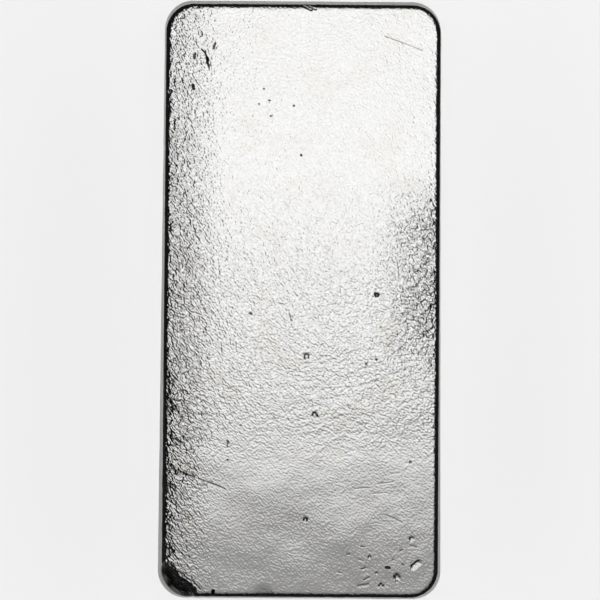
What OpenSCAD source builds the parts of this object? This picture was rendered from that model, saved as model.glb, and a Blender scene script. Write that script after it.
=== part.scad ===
// Cast silver bar of about one kilogram. It lies on the face that set open to the air,
// with the smaller face, which set against the bottom of the mould, upwards. The bar is
// one solid: a block with leaning walls and round corners, a rolled rim around the upper
// face and a small round along the edge of the base. +Y is the narrower, head end.
// All lengths are in millimetres and all angles in degrees.

/* [Bar] */
// Length between the two end walls, at the base
bar_length = 112; // [60:0.5:250]
// Width between the long walls at the foot end, at the base
foot_width = 53.1; // [40:0.1:120]
// Narrowing of the bar from the foot end to the head end
head_narrowing = 1.5; // [0:0.1:3]
// Thickness from the base to the upper face
thickness = 16.7; // [8:0.1:40]

/* [Walls] */
// Lean of the end walls, from upright
end_draft = 4.2; // [0:0.1:10]
// Lean of the long walls at the head end, from upright
head_draft = 1.4; // [0:0.1:10]
// Lean of the long walls at the foot end, from upright
foot_draft = 3.3; // [0:0.1:10]
// Radius of the four upright corners, in plan
corner_radius = 5.3; // [4:0.1:12]

/* [Edges] */
// Radius of the roll-off from the upper face to the walls
rim_radius = 2.7; // [0.5:0.1:4]
// Slope at which the roll-off meets the walls
rim_slope = 24; // [10:1:70]
// Radius of the round between the walls and the base
base_edge_radius = 0.8; // [0.2:0.1:2]

/* [Hidden] */
// Number of steps in each rounded edge
edge_steps = 6;
// Sides of a full circle in the corners
corner_sides = 32;
// Height of the thin disc that stands for a corner at one level
disc_height = 0.01;
// Width between the long walls at the head end, at the base
head_width = foot_width - head_narrowing;
// Height at which the walls end and the roll-off starts
wall_top = thickness - rim_radius * (1 - cos(rim_slope));

// Discs in the four corners of the bar's plan at one level, drawn in by an inset
module corner_discs(level, inset) {
    wall_rise = max(0, min(level, wall_top) - base_edge_radius);
    end_y = bar_length / 2 - corner_radius - wall_rise * tan(end_draft);
    head_x = head_width / 2 - corner_radius - wall_rise * tan(head_draft);
    foot_x = foot_width / 2 - corner_radius - wall_rise * tan(foot_draft);
    for (place = [[head_x, end_y], [-head_x, end_y], [foot_x, -end_y], [-foot_x, -end_y]])
        translate([place.x, place.y, level])
            cylinder(h = disc_height, r = corner_radius - inset, center = true, $fn = corner_sides);
}

// Levels of the round between the base and the walls
module base_edge() {
    for (step = [0 : edge_steps]) {
        angle = 90 * step / edge_steps;
        corner_discs(base_edge_radius * (1 - cos(angle)), base_edge_radius * (1 - sin(angle)));
    }
}

// Levels of the roll-off, from the top of the walls to the flat of the upper face
module rolled_rim() {
    for (step = [0 : edge_steps]) {
        slope = rim_slope * (1 - step / edge_steps);
        corner_discs(thickness - rim_radius * (1 - cos(slope)), rim_radius * (sin(rim_slope) - sin(slope)));
    }
}

// Everything between the level of the base and the level of the upper face
module level_slab() {
    slab_width = foot_width + 2 * corner_radius;
    slab_length = bar_length + 2 * corner_radius;
    translate([-slab_width / 2, -slab_length / 2, 0])
        cube([slab_width, slab_length, thickness]);
}

module ingot() {
    color("silver")
        intersection() {
            hull() {
                base_edge();
                rolled_rim();
            }
            level_slab();
        }
}

ingot();
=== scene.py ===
import math

import bmesh
import bpy
from mathutils import Matrix, Vector


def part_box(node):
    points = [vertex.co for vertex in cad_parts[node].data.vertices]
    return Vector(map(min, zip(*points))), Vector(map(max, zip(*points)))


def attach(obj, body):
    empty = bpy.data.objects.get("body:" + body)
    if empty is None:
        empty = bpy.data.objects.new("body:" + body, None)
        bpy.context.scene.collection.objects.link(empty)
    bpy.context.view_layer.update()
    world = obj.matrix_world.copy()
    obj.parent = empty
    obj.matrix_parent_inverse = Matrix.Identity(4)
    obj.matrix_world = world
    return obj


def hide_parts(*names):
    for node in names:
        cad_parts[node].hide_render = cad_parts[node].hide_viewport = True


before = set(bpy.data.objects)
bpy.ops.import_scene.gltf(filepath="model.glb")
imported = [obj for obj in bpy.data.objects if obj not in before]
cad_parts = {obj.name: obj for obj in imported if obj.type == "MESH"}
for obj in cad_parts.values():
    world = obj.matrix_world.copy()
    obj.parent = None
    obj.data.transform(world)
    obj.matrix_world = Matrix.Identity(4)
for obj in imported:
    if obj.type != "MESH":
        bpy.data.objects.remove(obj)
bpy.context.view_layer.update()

MM = 0.001

# The bar's sizes, in metres. Length, foot width and thickness come from the frame.
NODE = "ingot"
node_low, node_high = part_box(NODE)
BAR_LENGTH = node_high.y - node_low.y
FOOT_WIDTH = node_high.x - node_low.x
THICKNESS = node_high.z
HEAD_NARROWING = 1.5 * MM
HEAD_WIDTH = FOOT_WIDTH - HEAD_NARROWING
CORNER_RADIUS = 5.3 * MM
BASE_EDGE_RADIUS = 0.8 * MM
RIM_RADIUS = 2.7 * MM
RIM_SLOPE = math.radians(24)
SHOULDER_ROUND = 0.1 * MM
END_DRAFT = math.radians(4.2)
HEAD_DRAFT = math.radians(1.4)
FOOT_DRAFT = math.radians(3.3)
WALL_TOP = THICKNESS - RIM_RADIUS * (1 - math.cos(RIM_SLOPE))

# How finely the bar is divided. The long and the short sides are cut twice, each time into so many parts.
LONG_CUTS = (18, 18)
SHORT_CUTS = (12, 11)
CORNER_CUTS = 22
WALL_ROWS = 9
RIM_STEPS = 6
SHOULDER_STEPS = 3
BASE_EDGE_STEPS = 4
BASE_SHARE_KEPT = 0.1
MARK_CUTS = 3
MARK_MARGIN = 0.15 * MM

# Limits for choosing vertices, edges and faces by their place or their normal
NEAR = 0.002 * MM
LONG_EDGE = 1 * MM
UPRIGHT_EDGE = WALL_TOP / 2
LEVEL_NORMAL = 0.99999
FACING_UP = 0.7

# How strongly the mould's skin shows on the walls, on the rim and on the upper face
WALL_GRAIN = 0.35
RIM_GRAIN = 0.3
RIM_GRAIN_DEPTH = 0.08 * MM
FACE_GRAIN = 0.4
MIDDLE_GRAIN_GAIN = 0.17
FOOT_GRAIN_LOSS = 0.14
SIDE_GRAIN = 1.06
HEAD_FADING = 0.3
FOOT_FADING = 0.35

# Where the skin of the upper face changes: the start and the end of each change, in millimetres
LEFT_SIDE_X = (-14, -24)
HEAD_FADING_Y = (12, 36)
FOOT_FADING_Y = (-34, -46)
RIGHT_PATCH_X = (12, 25)
RIGHT_PATCH_FOOT_Y = (-16, -4)
RIGHT_PATCH_HEAD_Y = (26, 12)
MIDDLE_HEAD_Y = (28, 2)
MIDDLE_FOOT_Y = (-32, -20)
FOOT_Y = (-20, -34)

# The relief of the casting: name, zone, size and height in millimetres, and number of finer layers
RELIEF = (
    ("face_waves", "upper_face", 9, 0.09, 2),
    ("face_crumple", "upper_grain", 2.0, 0.04, 0),
    ("face_crinkle", "upper_grain", 0.65, 0.15, 0),
    ("wall_waves", "walls", 5, 0.16, 2),
)
WALL_WAVES_START = 2 * MM

# Open gas pits in the upper face: place from the middle of the bar, radius and depth, in millimetres
OPEN_PITS = (
    (1.0, -10.2, 0.70, 0.10),
    (2.6, -21.0, 0.66, 0.095),
    (1.0, -40.4, 0.64, 0.085),
    (20.3, -29.7, 0.32, 0.048),
    (20.6, -43.8, 0.62, 0.068),
    (12.9, -47.2, 0.42, 0.055),
    (18.0, -50.9, 0.90, 0.10),
    (17.9, -51.7, 0.36, 0.05),
    (14.2, -50.2, 0.40, 0.04),
)

# Small pits that are darkened with painted shade, given in the same way
SHADED_PITS = (
    (13.9, 1.2, 0.40, 0.10),
    (13.9, -10.7, 0.22, 0.05),
    (12.0, -11.6, 0.20, 0.05),
    (16.1, -49.2, 0.30, 0.07),
    (16.5, -49.3, 0.24, 0.06),
    (15.0, -52.2, 0.24, 0.06),
    (15.4, -52.5, 0.22, 0.05),
    (14.7, -52.5, 0.18, 0.05),
    (-24.5, 38.5, 0.40, 0.08),
    (-7.2, 39.1, 0.16, 0.04),
    (-6.3, 37.0, 0.14, 0.04),
    (-8.1, 36.3, 0.16, 0.04),
    (-5.9, 34.1, 0.16, 0.04),
    (-1.7, 36.0, 0.18, 0.04),
    (-0.3, 26.9, 0.18, 0.04),
    (-9.4, -2.4, 0.20, 0.05),
    (-13.5, -29.5, 0.16, 0.04),
    (-11.1, -23.1, 0.16, 0.04),
)
# How strongly the painted shade darkens these pits
PIT_PAINTED_SHADE = 0.8

# Creases, scratches and gouges in the upper face: the points of each one, its half width and its depth,
# in millimetres, and how strongly painted shade darkens it
FLOW_MARKS = (
    (((-18.8, 46.4), (-18.2, 45.7), (-17.8, 44.8), (-17.7, 43.8), (-17.4, 42.9)), 0.15, 0.04, 0.9),
    (((-17.8, 44.8), (-17.7, 43.9)), 0.25, 0.04, 1.0),
    (((-16.4, 47.4), (-16.6, 46.5)), 0.20, 0.04, 0.8),
    (((-20.0, 45.6), (-20.2, 44.6)), 0.18, 0.04, 0.7),
    (((-20.4, 39.8), (-20.2, 39.0)), 0.24, 0.06, 0.9),
    (((-18.8, 49.6), (-18.8, 48.8)), 0.20, 0.03, 0.4),
    (((15.0, 49.0), (18.4, 47.8), (22.0, 46.4)), 0.12, 0.012, 0.5),
    (((-24.4, -31.0), (-14.1, -34.8)), 0.18, 0.035, 0.0),
    (((14.1, -33.8), (17.2, -33.4)), 0.14, 0.010, 0.0),
    (((10.0, -34.7), (12.6, -34.5)), 0.14, 0.010, 0.0),
    (((13.0, -35.6), (15.9, -35.4)), 0.14, 0.010, 0.0),
    (((15.8, -39.4), (18.9, -40.8)), 0.14, 0.012, 0.4),
    (((20.3, -45.0), (21.5, -45.4)), 0.16, 0.02, 0.5),
    (((21.0, -49.0), (22.0, -48.2)), 0.65, 0.07, 0.0),
    (((20.8, -48.8), (21.9, -47.9)), 0.20, 0.05, 0.4),
    (((-16.0, -53.7), (-16.1, -54.3)), 0.32, 0.08, 1.0),
    (((-23.9, -18.9), (-21.8, -22.1)), 0.20, 0.04, 0.3),
    (((-24.5, -24.8), (-21.6, -26.6)), 0.16, 0.04, 0.5),
    (((-13.5, -25.8), (-13.6, -27.1)), 0.13, 0.02, 0.4),
    (((-2.3, -2.3), (-1.9, -3.7)), 0.13, 0.02, 0.4),
    (((0.0, 54.4), (1.4, 53.7)), 0.22, 0.05, 0.5),
    (((0.9, 54.4), (2.2, 53.8)), 0.20, 0.04, 0.5),
    (((-24.9, -48.7), (-23.0, -49.7), (-21.6, -50.9), (-19.8, -52.0), (-18.4, -53.4)), 0.20, 0.03, 0.4),
    (((11.3, -45.3), (11.8, -45.4)), 0.14, 0.03, 0.5),
    (((18.5, -46.1), (18.9, -45.9)), 0.15, 0.03, 0.7),
    (((17.0, -47.9), (17.3, -47.7)), 0.14, 0.03, 0.5),
    (((18.9, -48.5), (19.3, -48.8)), 0.14, 0.03, 0.6),
    (((8.7, -46.8), (9.2, -46.8)), 0.14, 0.03, 0.5),
    (((11.0, -47.7), (11.7, -48.0)), 0.14, 0.02, 0.4),
    (((11.4, -49.5), (12.1, -49.3)), 0.16, 0.03, 0.6),
    (((11.9, -51.5), (12.8, -51.0)), 0.20, 0.03, 0.6),
    (((10.9, -52.6), (12.6, -52.3)), 0.34, 0.03, 0.45),
    (((7.1, -50.1), (7.6, -50.2)), 0.14, 0.03, 0.5),
)

# The middle of a pit or crease, which goes down all the way, and the share of its width that painted shade
# darkens fully
MARK_CORE = 0.06 * MM
PAINTED_SHADE_CORE = 0.5

# Dents and sags where the rim didn't fill: the points of each one, its reach and its depth, in millimetres
RIM_DENTS = (
    (((-25.0, -19.5),), 2.0, 0.10),
    (((-25.0, -35.0),), 1.8, 0.10),
    (((-24.8, -46.5),), 1.8, 0.09),
    (((-6.8, -54.6),), 2.0, 0.11),
    (((-25.0, 4.0), (-25.1, -14.0)), 1.5, 0.03),
    (((-25.1, -14.0), (-25.3, -49.0)), 1.7, 0.07),
)

# Broad swells and hollows of the upper face: place, reach and rise, in millimetres
SWELLS = (
    (-4.5, -33.0, 11.0, 0.06),
    (7.0, -42.0, 8.0, 0.05),
    (27.0, 0.0, 9.0, -0.18),
)
SWELL_CORE = 0.5 * MM

# The corner of the upper face that didn't fill, how strongly painted shade darkens it, and the level that
# this painted shade reaches on the walls
BROKEN_CORNER = ((-25.7, -51.6), (-25.0, -53.6), (-22.6, -54.8))
BROKEN_CORNER_CORE = 0.6 * MM
BROKEN_CORNER_REACH = 3.0 * MM
BROKEN_CORNER_DROP = 0.9 * MM
BROKEN_CORNER_PAINTED_SHADE = 0.9
BROKEN_CORNER_SHADE_LEVEL = WALL_TOP - 2 * MM

# The silver's finish: roughness, colours and the noises of its patterns
WALL_ROUGHNESS = 0.22
FACE_ROUGHNESS = 0.13
EDGE_TINT = (0.3, 0.3, 0.3, 1)
BRIGHT_LEVEL = THICKNESS - 0.06 * MM
GRAIN_SLANT = math.radians(-50)
GRAIN_STRETCH = (1.25, 0.85, 1)
GRAIN_NOISE = {"Scale": 2800.0, "Detail": 0.0}
GRAIN_HEIGHT = 0.075 * MM
MOTTLING_STRETCH = (2.5, 2.5, 1)
MOTTLING_NOISE = {"Scale": 800.0, "Detail": 6.0, "Roughness": 0.75}
WALL_COLOURS = ((0.3, (0.40, 0.397, 0.39, 1)), (0.7, (0.55, 0.546, 0.538, 1)))
TARNISH_NOISE = {"Scale": 110.0, "Detail": 4.0, "Roughness": 0.6}
FACE_COLOURS = ((0.5, (0.90, 0.896, 0.886, 1)), (0.75, (0.86, 0.845, 0.79, 1)))
# The dark colour of the painted shade in the pits, the creases and the broken corner
PAINTED_SHADE_COLOUR = (0.05, 0.048, 0.045, 1)

# The places of the colour sockets on a Mix node, which share their names with its other sockets
MIX_FIRST = 6
MIX_SECOND = 7
MIX_RESULT = 2

# The floor, the camera, the lamp for the floor and the angle over which the softbox spreads its light
FLOOR_SIZE = 60
FLOOR_COLOUR = (0.92, 0.92, 0.92, 1)
CAMERA_PLACE = Vector((-8 * MM, 10 * MM, 1017 * MM))
CAMERA_AIM = Vector((-0.18 * MM, 0, 0))
CAMERA_ROLL = math.radians(0.4)
VIEW_HEIGHT = 112.66 * MM
SENSOR_WIDTH = 36
FLOOR_LAMP_HEIGHT = 2
FLOOR_LAMP_STRENGTH = 2.15
FLOOR_LAMP_ANGLE = math.radians(4)
SOFTBOX_SPREAD = math.radians(60)

# The softbox is brightest towards the head end and falls off towards the foot. For each sheet: name, two
# opposite corners and height in metres, and level
SOFTBOX = (
    ("softbox_base", (-0.060, -0.150), (0.085, 0.150), 0.302, 0.36),
    ("softbox_sheet", (-0.055, -0.053), (0.075, 0.145), 0.301, 0.46),
    ("softbox_middle", (-0.050, -0.024), (0.070, 0.140), 0.300, 0.42),
)

# Pale walls up to 28 degrees above the floor, and a dark ceiling from 38 degrees: angle and level
SKY = ((12, 0.95), (28, 0.78), (38, 0.005))


def deselect_all():
    """Leaves object mode with nothing selected."""
    if bpy.context.mode != "OBJECT":
        bpy.ops.object.mode_set(mode="OBJECT")
    bpy.ops.object.select_all(action="DESELECT")


def pick(piece):
    """Makes one piece the active one, and the only one that is selected."""
    deselect_all()
    bpy.context.view_layer.objects.active = piece
    piece.select_set(True)


def edit(piece):
    """Opens one piece in edit mode with nothing selected."""
    pick(piece)
    bpy.ops.object.mode_set(mode="EDIT")
    bpy.ops.mesh.select_all(action="DESELECT")


def select_vertices(piece, wanted):
    """Selects the vertices whose place passes a test."""
    bpy.ops.mesh.select_mode(type="VERT")
    bpy.ops.mesh.select_all(action="DESELECT")
    cage = bmesh.from_edit_mesh(piece.data)
    for vertex in cage.verts:
        vertex.select_set(wanted(vertex.co))
    cage.select_flush_mode()
    bmesh.update_edit_mesh(piece.data)


def select_edges(piece, wanted):
    """Selects the edges whose two ends pass a test."""
    bpy.ops.mesh.select_mode(type="EDGE")
    bpy.ops.mesh.select_all(action="DESELECT")
    cage = bmesh.from_edit_mesh(piece.data)
    for edge in cage.edges:
        edge.select_set(wanted(*(vertex.co for vertex in edge.verts)))
    cage.select_flush_mode()
    bmesh.update_edit_mesh(piece.data)


def select_faces(piece, wanted):
    """Selects the faces whose centre and normal pass a test."""
    bpy.ops.mesh.select_mode(type="FACE")
    bpy.ops.mesh.select_all(action="DESELECT")
    cage = bmesh.from_edit_mesh(piece.data)
    for face in cage.faces:
        face.select_set(wanted(face.calc_center_median(), face.normal))
    cage.select_flush_mode()
    bmesh.update_edit_mesh(piece.data)


def smooth_step(start, end, value):
    """Goes smoothly from 0 at the start to 1 at the end."""
    share = min(max((value - start) / (end - start), 0), 1)
    return share * share * (3 - 2 * share)


def distance_to(path, limit):
    """A measure of how far a place lies, in plan, from a path of points in millimetres, up to a limit."""
    points = [Vector(point) * MM for point in path]
    low_x = min(point.x for point in points) - limit
    high_x = max(point.x for point in points) + limit
    low_y = min(point.y for point in points) - limit
    high_y = max(point.y for point in points) + limit

    def measure(place):
        if not (low_x < place.x < high_x and low_y < place.y < high_y):
            return limit
        here = place.xy
        nearest = min(limit, (here - points[0]).length)
        for start, end in zip(points, points[1:]):
            run = end - start
            share = min(max((here - start).dot(run) / run.length_squared, 0), 1)
            nearest = min(nearest, (here - start - run * share).length)
        return nearest

    return measure


def near_path(path, reach):
    """A test for the places that lie, in plan, within reach of a path of points in millimetres."""
    measure = distance_to(path, reach)
    return lambda place: measure(place) < reach


def block_out_bar():
    """A cube is leaned and narrowed to the mould's walls, and its edges are rounded."""
    deselect_all()
    bpy.ops.mesh.primitive_cube_add(
        size=1,
        location=(0, 0, WALL_TOP / 2),
        scale=(FOOT_WIDTH, BAR_LENGTH, WALL_TOP),
    )
    bpy.ops.object.transform_apply(location=True, rotation=True, scale=True)
    bar = bpy.context.object
    bar.name = "cast_bar"
    edit(bar)

    # Each end of each level gets the width and the place that the leaning walls give it there
    for level in (0, WALL_TOP):
        rise = level - BASE_EDGE_RADIUS
        for end, width, draft in ((1, HEAD_WIDTH, HEAD_DRAFT), (-1, FOOT_WIDTH, FOOT_DRAFT)):
            select_vertices(bar, lambda place: abs(place.z - level) < NEAR and place.y * end > 0)
            narrowed = width - 2 * rise * math.tan(draft)
            bpy.ops.transform.resize(value=(narrowed / FOOT_WIDTH, 1, 1), center_override=(0, 0, level))
            bpy.ops.transform.translate(value=(0, -end * rise * math.tan(END_DRAFT), 0))

    select_edges(bar, lambda a, b: abs(a.z - b.z) > UPRIGHT_EDGE)
    bpy.ops.mesh.bevel(offset=CORNER_RADIUS, segments=CORNER_CUTS, affect="EDGES")
    select_edges(bar, lambda a, b: a.z < NEAR and b.z < NEAR)
    bpy.ops.mesh.bevel(offset=BASE_EDGE_RADIUS, segments=BASE_EDGE_STEPS, affect="EDGES")

    # The roll-off goes up in steps from the top of the walls to the flat of the upper face
    select_faces(bar, lambda place, normal: normal.z > FACING_UP)
    for step in range(RIM_STEPS):
        steep = RIM_SLOPE * (1 - step / RIM_STEPS)
        gentle = RIM_SLOPE * (1 - (step + 1) / RIM_STEPS)
        bpy.ops.mesh.inset(
            thickness=RIM_RADIUS * (math.sin(steep) - math.sin(gentle)),
            depth=RIM_RADIUS * (math.cos(gentle) - math.cos(steep)),
        )
    select_edges(bar, lambda a, b: abs(a.z - WALL_TOP) < NEAR and abs(b.z - WALL_TOP) < NEAR)
    bpy.ops.mesh.bevel(offset=SHOULDER_ROUND, segments=SHOULDER_STEPS, affect="EDGES")
    return bar


def fill_level(bar, level):
    """Fills the open loop at one level with a grid whose corners are in the middle of the round corners."""
    bpy.ops.mesh.select_mode(type="VERT")
    bpy.ops.mesh.select_all(action="DESELECT")
    cage = bmesh.from_edit_mesh(bar.data)
    loop = [edge for edge in cage.edges if all(abs(v.co.z - level) < NEAR for v in edge.verts)]
    for edge in loop:
        edge.select_set(True)
    corner = max((v for edge in loop for v in edge.verts), key=lambda v: v.co.x - v.co.y)
    cage.select_history.clear()
    cage.select_history.add(corner)
    bmesh.update_edit_mesh(bar.data)
    bpy.ops.mesh.fill_grid(span=math.prod(SHORT_CUTS) + CORNER_CUTS, offset=0)


def divide_bar(bar):
    """Divides the blocked-out bar into small faces, so that it can take the relief of the casting."""
    select_faces(bar, lambda place, normal: abs(normal.z) > LEVEL_NORMAL)
    bpy.ops.mesh.delete(type="ONLY_FACE")
    for cuts in LONG_CUTS:
        select_edges(bar, lambda a, b: abs(a.y - b.y) > LONG_EDGE and abs(a.z - b.z) < NEAR)
        bpy.ops.mesh.subdivide(number_cuts=cuts - 1)
    for cuts in SHORT_CUTS:
        select_edges(bar, lambda a, b: abs(a.x - b.x) > LONG_EDGE and abs(a.z - b.z) < NEAR)
        bpy.ops.mesh.subdivide(number_cuts=cuts - 1)
    select_edges(bar, lambda a, b: abs(a.z - b.z) > UPRIGHT_EDGE)
    bpy.ops.mesh.subdivide(number_cuts=WALL_ROWS - 1)
    fill_level(bar, THICKNESS)
    fill_level(bar, 0)

    # The base is flat and carries no relief, so it keeps fewer faces
    select_faces(bar, lambda place, normal: place.z < NEAR and normal.z < -LEVEL_NORMAL)
    bpy.ops.mesh.decimate(ratio=BASE_SHARE_KEPT)


def divide_near_marks(bar):
    """Divides the upper face more finely around each pit and crease."""
    marks = [(((x, y),), radius) for x, y, radius, depth in OPEN_PITS + SHADED_PITS]
    marks += [(path, width) for path, width, depth, painted_shade in FLOW_MARKS]
    tests = [near_path(path, width * MM + MARK_MARGIN) for path, width in marks]
    select_faces(bar, lambda place, normal: normal.z > FACING_UP and any(test(place) for test in tests))
    bpy.ops.mesh.subdivide(number_cuts=MARK_CUTS)


def grain_strength(place):
    """How strongly the mould's skin shows at a place."""
    if place.z < WALL_TOP:
        return WALL_GRAIN
    x = place.x / MM
    y = place.y / MM
    fading = HEAD_FADING * smooth_step(*HEAD_FADING_Y, y) + FOOT_FADING * smooth_step(*FOOT_FADING_Y, y)
    left_side = smooth_step(*LEFT_SIDE_X, x) * (1 - fading)
    right_patch = smooth_step(*RIGHT_PATCH_X, x)
    right_patch *= smooth_step(*RIGHT_PATCH_FOOT_Y, y) * smooth_step(*RIGHT_PATCH_HEAD_Y, y)
    middle = smooth_step(*MIDDLE_HEAD_Y, y) * smooth_step(*MIDDLE_FOOT_Y, y)
    plain = FACE_GRAIN + MIDDLE_GRAIN_GAIN * middle - FOOT_GRAIN_LOSS * smooth_step(*FOOT_Y, y)
    on_face = plain + (SIDE_GRAIN - plain) * max(left_side, right_patch)
    flat = smooth_step(THICKNESS - RIM_GRAIN_DEPTH, THICKNESS, place.z)
    return RIM_GRAIN + (on_face - RIM_GRAIN) * flat


def painted_shade_strength():
    """A measure of how strongly painted shade darkens a place in the pits, the creases and the broken
    corner.
    """
    marks = [(((x, y),), radius * MM, PIT_PAINTED_SHADE, WALL_TOP) for x, y, radius, depth in SHADED_PITS]
    marks += [(path, width * MM, painted_shade, WALL_TOP) for path, width, depth, painted_shade in FLOW_MARKS if painted_shade > 0]
    marks.append((BROKEN_CORNER, BROKEN_CORNER_REACH, BROKEN_CORNER_PAINTED_SHADE, BROKEN_CORNER_SHADE_LEVEL))
    painted_shades = [(distance_to(path, width), width, painted_shade, lowest) for path, width, painted_shade, lowest in marks]

    def measure(place):
        return max(
            painted_shade * smooth_step(width, PAINTED_SHADE_CORE * width, distance(place)) * (place.z > lowest)
            for distance, width, painted_shade, lowest in painted_shades
        )

    return measure


def name_zone(bar, zone, weight):
    """Makes a vertex group whose weight comes from the place of each vertex."""
    group = bar.vertex_groups.new(name=zone)
    for vertex in bar.data.vertices:
        share = weight(vertex.co)
        if share > 0:
            group.add([vertex.index], share, "REPLACE")


def paint(bar, name, value):
    """Gives each vertex a number that comes from its place, for the material to read."""
    values = [value(vertex.co) for vertex in bar.data.vertices]
    bar.data.attributes.new(name, "FLOAT", "POINT").data.foreach_set("value", values)


def roughen(bar, name, zone, size, height, layers):
    """Presses one noise of a given size and height into a zone of the bar."""
    noise = bpy.data.textures.new(name, "CLOUDS")
    noise.noise_scale = size
    noise.noise_depth = layers
    relief = bar.modifiers.new(name, "DISPLACE")
    relief.texture = noise
    relief.texture_coords = "LOCAL"
    relief.vertex_group = zone
    relief.strength = height
    relief.mid_level = 0.5
    bpy.ops.object.modifier_apply(modifier=name)
    bpy.data.textures.remove(noise)


def cast_relief(bar):
    """Notes where grain and painted shade lie, and gives the bar the waves and crinkles of its mould."""
    pick(bar)
    paint(bar, "grain", grain_strength)
    paint(bar, "painted_shade", painted_shade_strength())
    name_zone(bar, "upper_face", lambda place: float(place.z > WALL_TOP))
    name_zone(bar, "upper_grain", lambda place: (place.z > WALL_TOP) * grain_strength(place) ** 2)
    name_zone(bar, "walls", lambda place: smooth_step(0, WALL_WAVES_START, place.z) * (place.z < WALL_TOP))
    for name, zone, size, height, layers in RELIEF:
        roughen(bar, name, zone, size * MM, height * MM, layers)


def sink(bar, wanted, depth, reach, falloff):
    """Pushes the chosen part of the upper surface down, and what lies within reach of it with it."""
    select_vertices(bar, lambda place: place.z > THICKNESS / 2 and wanted(place))
    bpy.ops.transform.translate(
        value=(0, 0, -depth),
        use_proportional_edit=True,
        proportional_edit_falloff=falloff,
        proportional_size=reach,
    )


def mark_bar(bar):
    """Adds the pits, creases, scratches and dents that the bar shows."""
    edit(bar)
    for x, y, reach, rise in SWELLS:
        sink(bar, near_path(((x, y),), SWELL_CORE), -rise * MM, reach * MM, "SMOOTH")
    for path, reach, depth in RIM_DENTS:
        sink(bar, near_path(path, SWELL_CORE), depth * MM, reach * MM, "SMOOTH")
    broken = near_path(BROKEN_CORNER, BROKEN_CORNER_CORE)
    sink(bar, broken, BROKEN_CORNER_DROP, BROKEN_CORNER_REACH, "LINEAR")
    for path, width, depth, painted_shade in FLOW_MARKS:
        sink(bar, near_path(path, MARK_CORE), depth * MM, width * MM, "LINEAR")
    for pits, falloff in ((OPEN_PITS, "SMOOTH"), (SHADED_PITS, "SPHERE")):
        for x, y, radius, depth in pits:
            sink(bar, near_path(((x, y),), MARK_CORE), depth * MM, radius * MM, falloff)
    deselect_all()


def new_material(name):
    """An empty node material and its node tree."""
    material = bpy.data.materials.new(name)
    material.use_nodes = True
    tree = material.node_tree
    tree.nodes.clear()
    return material, tree


def add(tree, kind, inputs=None, **settings):
    """Adds a node, and sets its properties and its unlinked inputs by name."""
    node = tree.nodes.new(kind)
    for name, value in settings.items():
        setattr(node, name, value)
    for name, value in (inputs or {}).items():
        node.inputs[name].default_value = value
    return node


def noise_pattern(tree, place, noise, stretch, turn=0):
    """A noise that is stretched, and may be turned, in plan."""
    mapping = add(tree, "ShaderNodeMapping", {
        "Rotation": (0, 0, turn),
        "Scale": stretch,
    }, vector_type="TEXTURE")
    tree.links.new(place, mapping.inputs["Vector"])
    pattern = add(tree, "ShaderNodeTexNoise", noise)
    tree.links.new(mapping.outputs["Vector"], pattern.inputs["Vector"])
    return pattern.outputs["Fac"]


def colours_between(tree, share, stops):
    """A colour that goes from one stop to the other with a share from 0 to 1."""
    ramp = add(tree, "ShaderNodeValToRGB")
    for element, (position, colour) in zip(ramp.color_ramp.elements, stops):
        element.position = position
        element.color = colour
    tree.links.new(share, ramp.inputs["Fac"])
    return ramp.outputs["Color"]


def grain_normal(tree, place):
    """The finer part of the mould's skin, as strong as the relief around it."""
    grain = noise_pattern(tree, place, GRAIN_NOISE, GRAIN_STRETCH, GRAIN_SLANT)
    strength = add(tree, "ShaderNodeAttribute", attribute_name="grain")
    height = add(tree, "ShaderNodeMath", operation="MULTIPLY")
    tree.links.new(grain, height.inputs[0])
    tree.links.new(strength.outputs["Fac"], height.inputs[1])
    bump = add(tree, "ShaderNodeBump", {"Strength": 1.0, "Distance": GRAIN_HEIGHT})
    tree.links.new(height.outputs["Value"], bump.inputs["Height"])
    return bump.outputs["Normal"]


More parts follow.
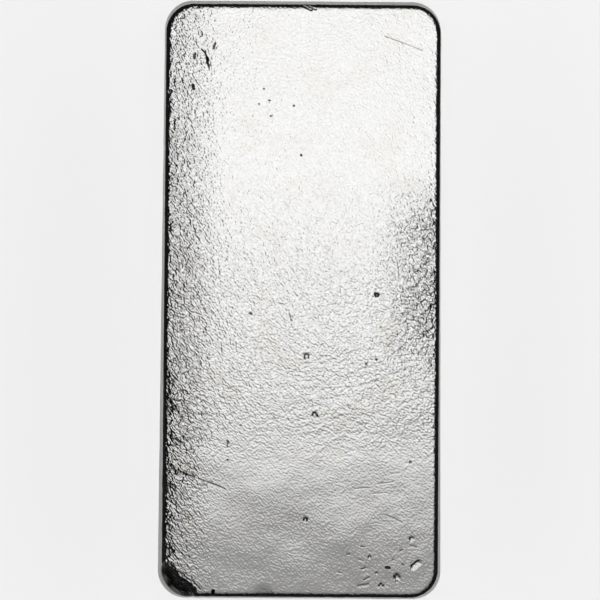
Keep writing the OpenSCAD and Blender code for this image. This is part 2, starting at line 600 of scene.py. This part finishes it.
def cast_silver():
    """Bright cast silver on the upper face, and a duller, darker skin on the rim and the walls; on the rim
    the darker colour is partly the cast skin and partly painted shade.
    """
    material, tree = new_material("cast_silver")
    link = tree.links.new
    output = add(tree, "ShaderNodeOutputMaterial")
    metal = add(tree, "ShaderNodeBsdfPrincipled", {"Metallic": 1.0, "Specular Tint": EDGE_TINT})
    link(metal.outputs["BSDF"], output.inputs["Surface"])
    place = add(tree, "ShaderNodeTexCoord").outputs["Object"]
    link(grain_normal(tree, place), metal.inputs["Normal"])

    # From the walls, over the rim, to the upper face; the rim's darker colour is partly painted shade
    levels = add(tree, "ShaderNodeSeparateXYZ")
    link(place, levels.inputs["Vector"])
    bright = add(tree, "ShaderNodeMapRange", {
        "From Min": WALL_TOP,
        "From Max": BRIGHT_LEVEL,
    }, interpolation_type="SMOOTHSTEP")
    link(levels.outputs["Z"], bright.inputs["Value"])
    dull = add(tree, "ShaderNodeMapRange", {"To Min": WALL_ROUGHNESS, "To Max": FACE_ROUGHNESS})
    link(bright.outputs["Result"], dull.inputs["Value"])
    link(dull.outputs["Result"], metal.inputs["Roughness"])

    # Mottled walls, and faint yellowish patches of tarnish on the face
    mottling = noise_pattern(tree, place, MOTTLING_NOISE, MOTTLING_STRETCH)
    patches = add(tree, "ShaderNodeTexNoise", TARNISH_NOISE)
    link(place, patches.inputs["Vector"])
    skin_and_rim_shade = add(tree, "ShaderNodeMix", data_type="RGBA")
    link(bright.outputs["Result"], skin_and_rim_shade.inputs["Factor"])
    link(colours_between(tree, mottling, WALL_COLOURS), skin_and_rim_shade.inputs[MIX_FIRST])
    link(colours_between(tree, patches.outputs["Fac"], FACE_COLOURS), skin_and_rim_shade.inputs[MIX_SECOND])

    # Painted shade in the pits, the creases and the broken corner
    painted_shade = add(tree, "ShaderNodeAttribute", attribute_name="painted_shade")
    shaded_colour = add(tree, "ShaderNodeMix", data_type="RGBA")
    shaded_colour.inputs[MIX_SECOND].default_value = PAINTED_SHADE_COLOUR
    link(painted_shade.outputs["Fac"], shaded_colour.inputs["Factor"])
    link(skin_and_rim_shade.outputs[MIX_RESULT], shaded_colour.inputs[MIX_FIRST])
    link(shaded_colour.outputs[MIX_RESULT], metal.inputs["Base Color"])
    return material


def pale_floor():
    """Plain white paint without gloss."""
    material, tree = new_material("pale_floor")
    output = add(tree, "ShaderNodeOutputMaterial")
    coat = add(tree, "ShaderNodeBsdfPrincipled", {
        "Base Color": FLOOR_COLOUR,
        "Roughness": 0.9,
        "Specular IOR Level": 0.0,
    })
    tree.links.new(coat.outputs["BSDF"], output.inputs["Surface"])
    return material


def make_floor():
    """A wide, level floor under the bar."""
    deselect_all()
    bpy.ops.mesh.primitive_plane_add(size=FLOOR_SIZE, location=(0, 0, 0))
    floor = bpy.context.object
    floor.name = "floor"
    floor.data.materials.append(pale_floor())


def make_camera():
    """Looks down on the bar from a metre, from a little to the left and towards the head end."""
    camera = bpy.data.cameras.new("camera")
    camera.sensor_width = SENSOR_WIDTH
    camera.lens = SENSOR_WIDTH * (CAMERA_PLACE - CAMERA_AIM).length / VIEW_HEIGHT
    camera.clip_start = 0.05
    camera.clip_end = 100
    camera_object = bpy.data.objects.new("camera", camera)
    bpy.context.scene.collection.objects.link(camera_object)
    camera_object.location = CAMERA_PLACE
    back = (CAMERA_PLACE - CAMERA_AIM).normalized()
    right = Vector((0, 1, 0)).cross(back).normalized()
    turn = Matrix((right, back.cross(right), back)).transposed()
    camera_object.rotation_euler = (turn @ Matrix.Rotation(CAMERA_ROLL, 3, "Z")).to_euler()
    bpy.context.scene.camera = camera_object


def add_lamp(name, kind, place, aim, **settings):
    """Hangs a lamp at a place and points it at another."""
    lamp = bpy.data.lights.new(name, kind)
    for key, value in settings.items():
        setattr(lamp, key, value)
    lamp_object = bpy.data.objects.new(name, lamp)
    bpy.context.scene.collection.objects.link(lamp_object)
    lamp_object.location = place
    lamp_object.rotation_euler = (Vector(aim) - Vector(place)).to_track_quat("-Z", "Y").to_euler()
    return lamp_object


def add_softbox(name, low, high, height, level):
    """A level sheet of light above the bar. Straight below, it is as bright as white paper of the level."""
    width = high[0] - low[0]
    length = high[1] - low[1]
    middle = ((low[0] + high[0]) / 2, (low[1] + high[1]) / 2)
    half_spread = SOFTBOX_SPREAD / 2
    add_lamp(
        name,
        "AREA",
        (*middle, height),
        (*middle, 0),
        shape="RECTANGLE",
        size=width,
        size_y=length,
        spread=SOFTBOX_SPREAD,
        energy=math.pi * width * length * level * (1 - half_spread / math.tan(half_spread)),
    )


def make_lamps():
    """Lights the floor with a lamp that the metal doesn't show, and the bar with the softbox."""
    floor_lamp = add_lamp(
        "floor_light",
        "SUN",
        (0, 0, FLOOR_LAMP_HEIGHT),
        (0, 0, 0),
        energy=FLOOR_LAMP_STRENGTH,
        angle=FLOOR_LAMP_ANGLE,
    )
    floor_lamp.visible_glossy = False
    for sheet in SOFTBOX:
        add_softbox(*sheet)


def make_sky():
    """Surrounds the bar with the pale walls and the dark ceiling of the studio."""
    world = bpy.data.worlds.new("studio")
    bpy.context.scene.world = world
    world.use_nodes = True
    tree = world.node_tree
    tree.nodes.clear()
    link = tree.links.new
    output = add(tree, "ShaderNodeOutputWorld")
    glow = add(tree, "ShaderNodeBackground", {"Strength": 1.0})
    direction = add(tree, "ShaderNodeTexCoord")
    height = add(tree, "ShaderNodeSeparateXYZ")
    ramp = add(tree, "ShaderNodeValToRGB")
    stops = ramp.color_ramp.elements
    for angle, level in SKY:
        stops.new(math.sin(math.radians(angle))).color = (level, level, level, 1)
    # The two ends take the colours of the stops next to them
    stops[0].color = stops[1].color
    stops[-1].color = stops[-2].color
    link(direction.outputs["Generated"], height.inputs["Vector"])
    link(height.outputs["Z"], ramp.inputs["Fac"])
    link(ramp.outputs["Color"], glow.inputs["Color"])
    link(glow.outputs["Background"], output.inputs["Surface"])


bar = block_out_bar()
divide_bar(bar)
divide_near_marks(bar)
cast_relief(bar)
mark_bar(bar)
pick(bar)
bpy.ops.object.shade_smooth()
bar.data.materials.append(cast_silver())
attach(bar, "root")
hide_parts(NODE)
make_floor()
make_camera()
make_lamps()
make_sky()
bpy.context.scene.view_settings.view_transform = "Standard"
